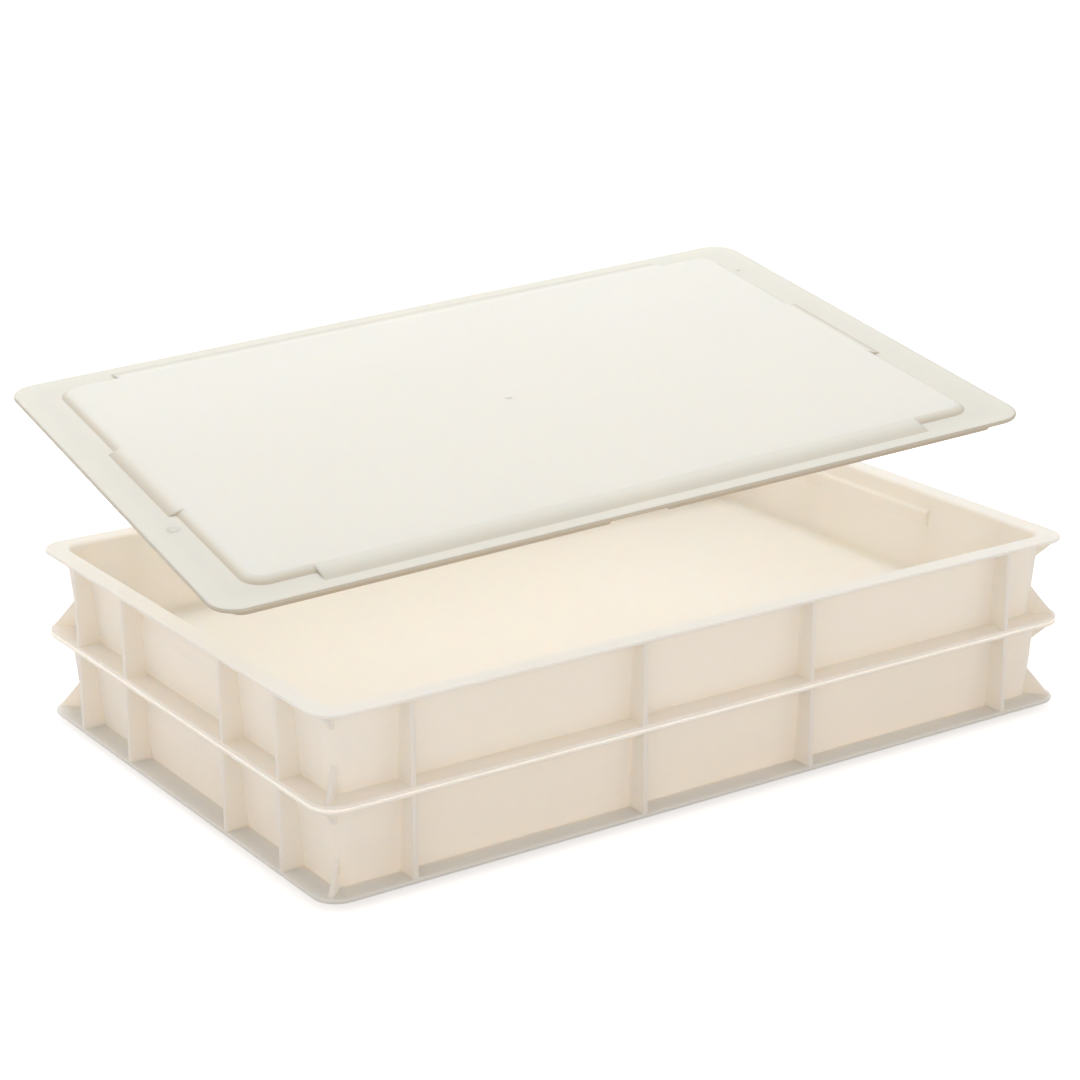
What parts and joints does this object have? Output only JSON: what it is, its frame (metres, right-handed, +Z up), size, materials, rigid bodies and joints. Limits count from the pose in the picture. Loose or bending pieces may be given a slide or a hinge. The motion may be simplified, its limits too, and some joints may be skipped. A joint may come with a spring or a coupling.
{
  "type": "dough proofing container",
  "caption": "Shallow rectangular dough trays that stack by a foot flange and spigot, with ribbed sides, side grips and a flat drop-in lid.",
  "frame": {"origin": "centre of the lower tray's underside, on the surface that the stack stands on", "axes": "+Z up, +X along the trays' long side to the right, +Y towards the back"},
  "size_m": [0.6297, 0.4796, 0.2599],
  "materials": {
    "tray_plastic": "satin natural polyethylene, slightly milky",
    "lid_plastic": "satin natural polyethylene, cooler and greyer than the trays"
  },
  "bodies": {
    "lower_tray": {"lower_tray": "tray_plastic"},
    "upper_tray": {"upper_tray": "tray_plastic"},
    "lid": {"lid": "lid_plastic"}
  },
  "joints": [
    {"name": "upper_tray_lift", "type": "slide", "parent": "lower_tray", "child": "upper_tray", "axis": [0, 0, 1], "range_m": [0, 0.2]},
    {"name": "lid_lift", "type": "slide", "parent": "upper_tray", "child": "lid", "axis": [0, 0, 1], "range_m": [-0.028, 0.2]}
  ]
}
